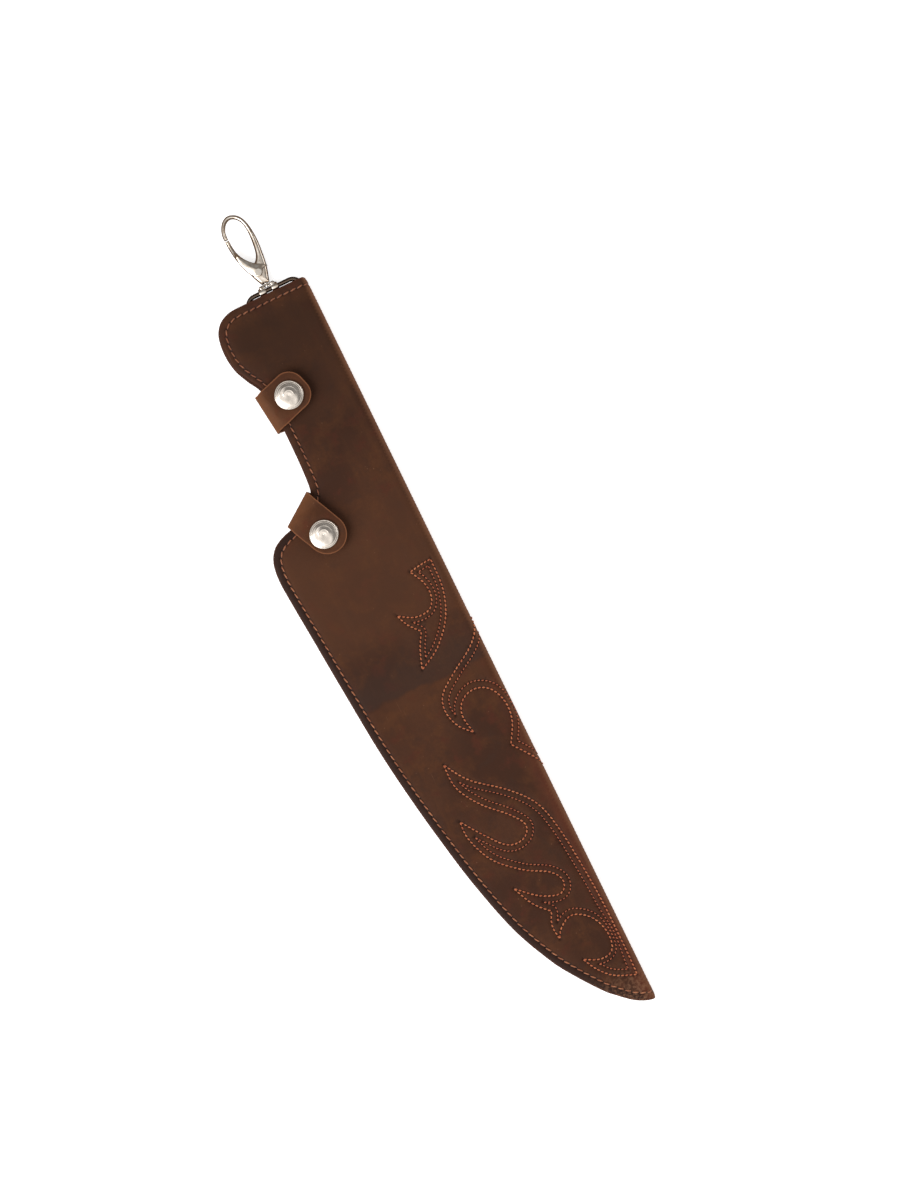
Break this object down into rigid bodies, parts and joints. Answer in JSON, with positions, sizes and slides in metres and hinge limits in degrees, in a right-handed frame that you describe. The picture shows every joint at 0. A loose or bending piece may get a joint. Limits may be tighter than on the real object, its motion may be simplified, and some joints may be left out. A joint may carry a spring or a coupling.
{
  "type": "knife sheath",
  "caption": "Folded leather sheath for a long knife, open at the grip side, closed by snap straps, with scroll stitching and a swivel snap hook on a sewn-in ring.",
  "frame": {"origin": "on the outer face of the back leaf, near the middle of the sheath's length and width", "axes": "+Y towards the hook along the spine fold, +X towards the spine fold, +Z out of the front leaf"},
  "size_m": [0.0785, 0.446, 0.0143],
  "materials": {
    "dark_leather": "oiled pull-up leather, matt",
    "strap_leather": "oiled pull-up leather, matt",
    "thread": "waxed polyester thread",
    "chrome": "polished",
    "steel": "satin"
  },
  "bodies": {
    "sheath": {"sheath_body": "dark_leather", "belly_welt": "dark_leather", "top_welt": "dark_leather", "ring_keeper": "dark_leather", "front_seam_thread": "thread", "back_seam_thread": "thread", "upper_strap_thread": "thread", "lower_strap_thread": "thread", "upper_scroll_outer_thread": "thread", "upper_scroll_inner_thread": "thread", "middle_scroll_outer_thread": "thread", "middle_scroll_inner_thread": "thread", "lower_scroll_outer_thread": "thread", "lower_scroll_inner_thread": "thread", "upper_strap_base": "strap_leather", "upper_strap_bend": "strap_leather", "upper_snap_stud": "steel", "upper_snap_post": "steel", "lower_strap_base": "strap_leather", "lower_strap_bend": "strap_leather", "lower_snap_stud": "steel", "lower_snap_post": "steel"},
    "ring": {"hanging_ring": "chrome"},
    "bail": {"swivel_bail": "chrome"},
    "hook": {"swivel_stem": "steel", "hook_body": "chrome", "gate_pin": "steel", "gate_spring": "steel"},
    "gate": {"hook_gate": "chrome"},
    "upper_strap": {"upper_strap_tab": "strap_leather", "upper_snap_cap": "chrome", "upper_snap_socket": "steel"},
    "lower_strap": {"lower_strap_tab": "strap_leather", "lower_snap_cap": "chrome", "lower_snap_socket": "steel"}
  },
  "joints": [
    {"name": "ring_slide", "type": "slide", "parent": "sheath", "child": "ring", "axis": [0, 1, 0], "range_m": [0, 0.0012]},
    {"name": "bail_hinge", "type": "hinge", "parent": "ring", "child": "bail", "pos_m": [0.0197, 0.1813, 0.00355], "axis": [1, 0, 0], "range_deg": [-80, 80]},
    {"name": "hook_swivel", "type": "hinge", "parent": "bail", "child": "hook", "pos_m": [0.0197, 0.186, 0.00355], "axis": [0, 1, 0], "continuous": true},
    {"name": "gate_hinge", "type": "hinge", "parent": "hook", "child": "gate", "pos_m": [0.0189, 0.1911, 0.00355], "axis": [0, 0, -1], "range_deg": [0, 18], "stiffness_Nm_per_rad": 0.02},
    {"name": "upper_strap_fold", "type": "hinge", "parent": "sheath", "child": "upper_strap", "pos_m": [-0.00831, 0.12469, 0.0073], "axis": [0.1146, -0.9934, 0], "range_deg": [0, 150], "deforming": ["upper_strap_bend"]},
    {"name": "lower_strap_fold", "type": "hinge", "parent": "sheath", "child": "lower_strap", "pos_m": [-0.0153, 0.0753, 0.0073], "axis": [-0.8117, -0.584, 0], "range_deg": [0, 150], "deforming": ["lower_strap_bend"]}
  ]
}
